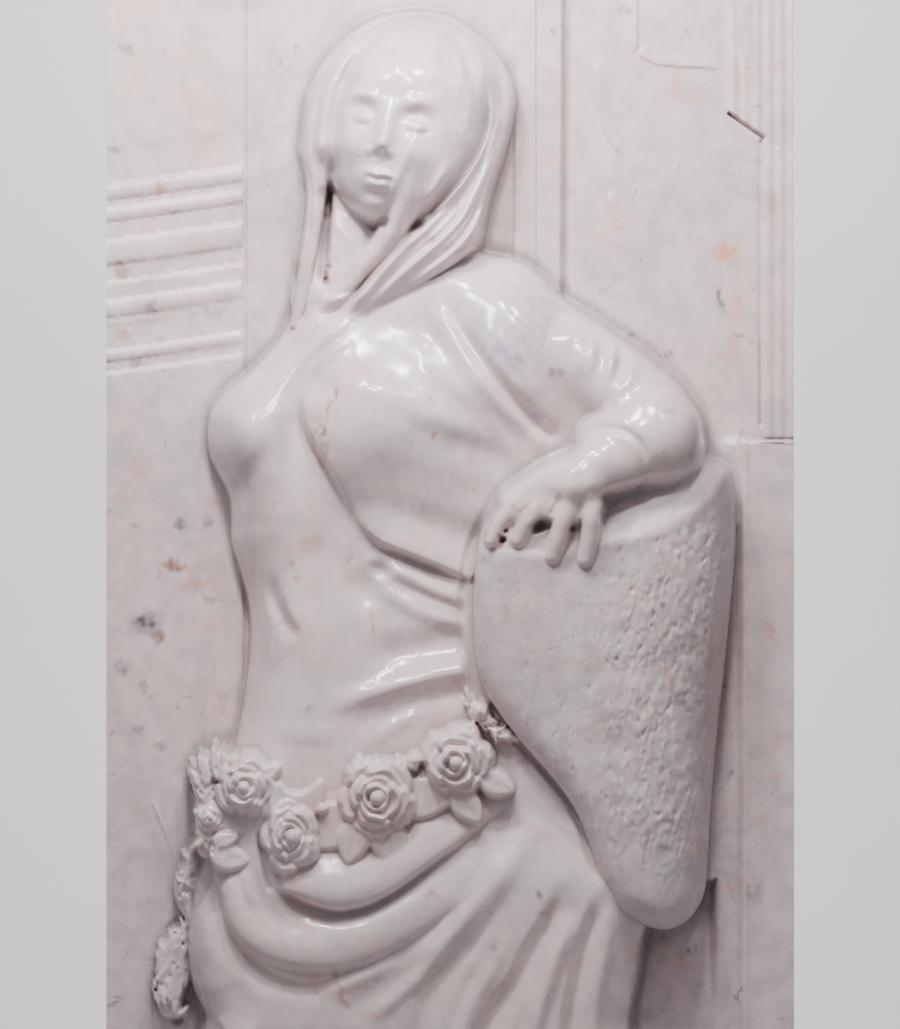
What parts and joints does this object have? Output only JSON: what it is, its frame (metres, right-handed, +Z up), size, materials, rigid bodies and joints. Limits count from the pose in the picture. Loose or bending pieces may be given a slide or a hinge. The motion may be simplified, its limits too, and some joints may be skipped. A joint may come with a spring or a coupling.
{
  "type": "marble relief plaque",
  "caption": "Wall plaque carved in high relief: a veiled draped figure with a rose garland at the hips, one arm resting on a tapered boulder, on a panelled ground.",
  "frame": {"origin": "middle of the flat back face, where the plaque rests against the wall", "axes": "+Z up, +Y into the wall, so the carved front faces -Y and +X is to the right of someone who faces it"},
  "size_m": [0.48, 0.129, 0.72],
  "materials": {
    "marble": "polished figure and cloth, satin ground, matte chiselled boulder"
  },
  "bodies": {
    "root": {"relief_plaque": "marble"}
  },
  "joints": []
}
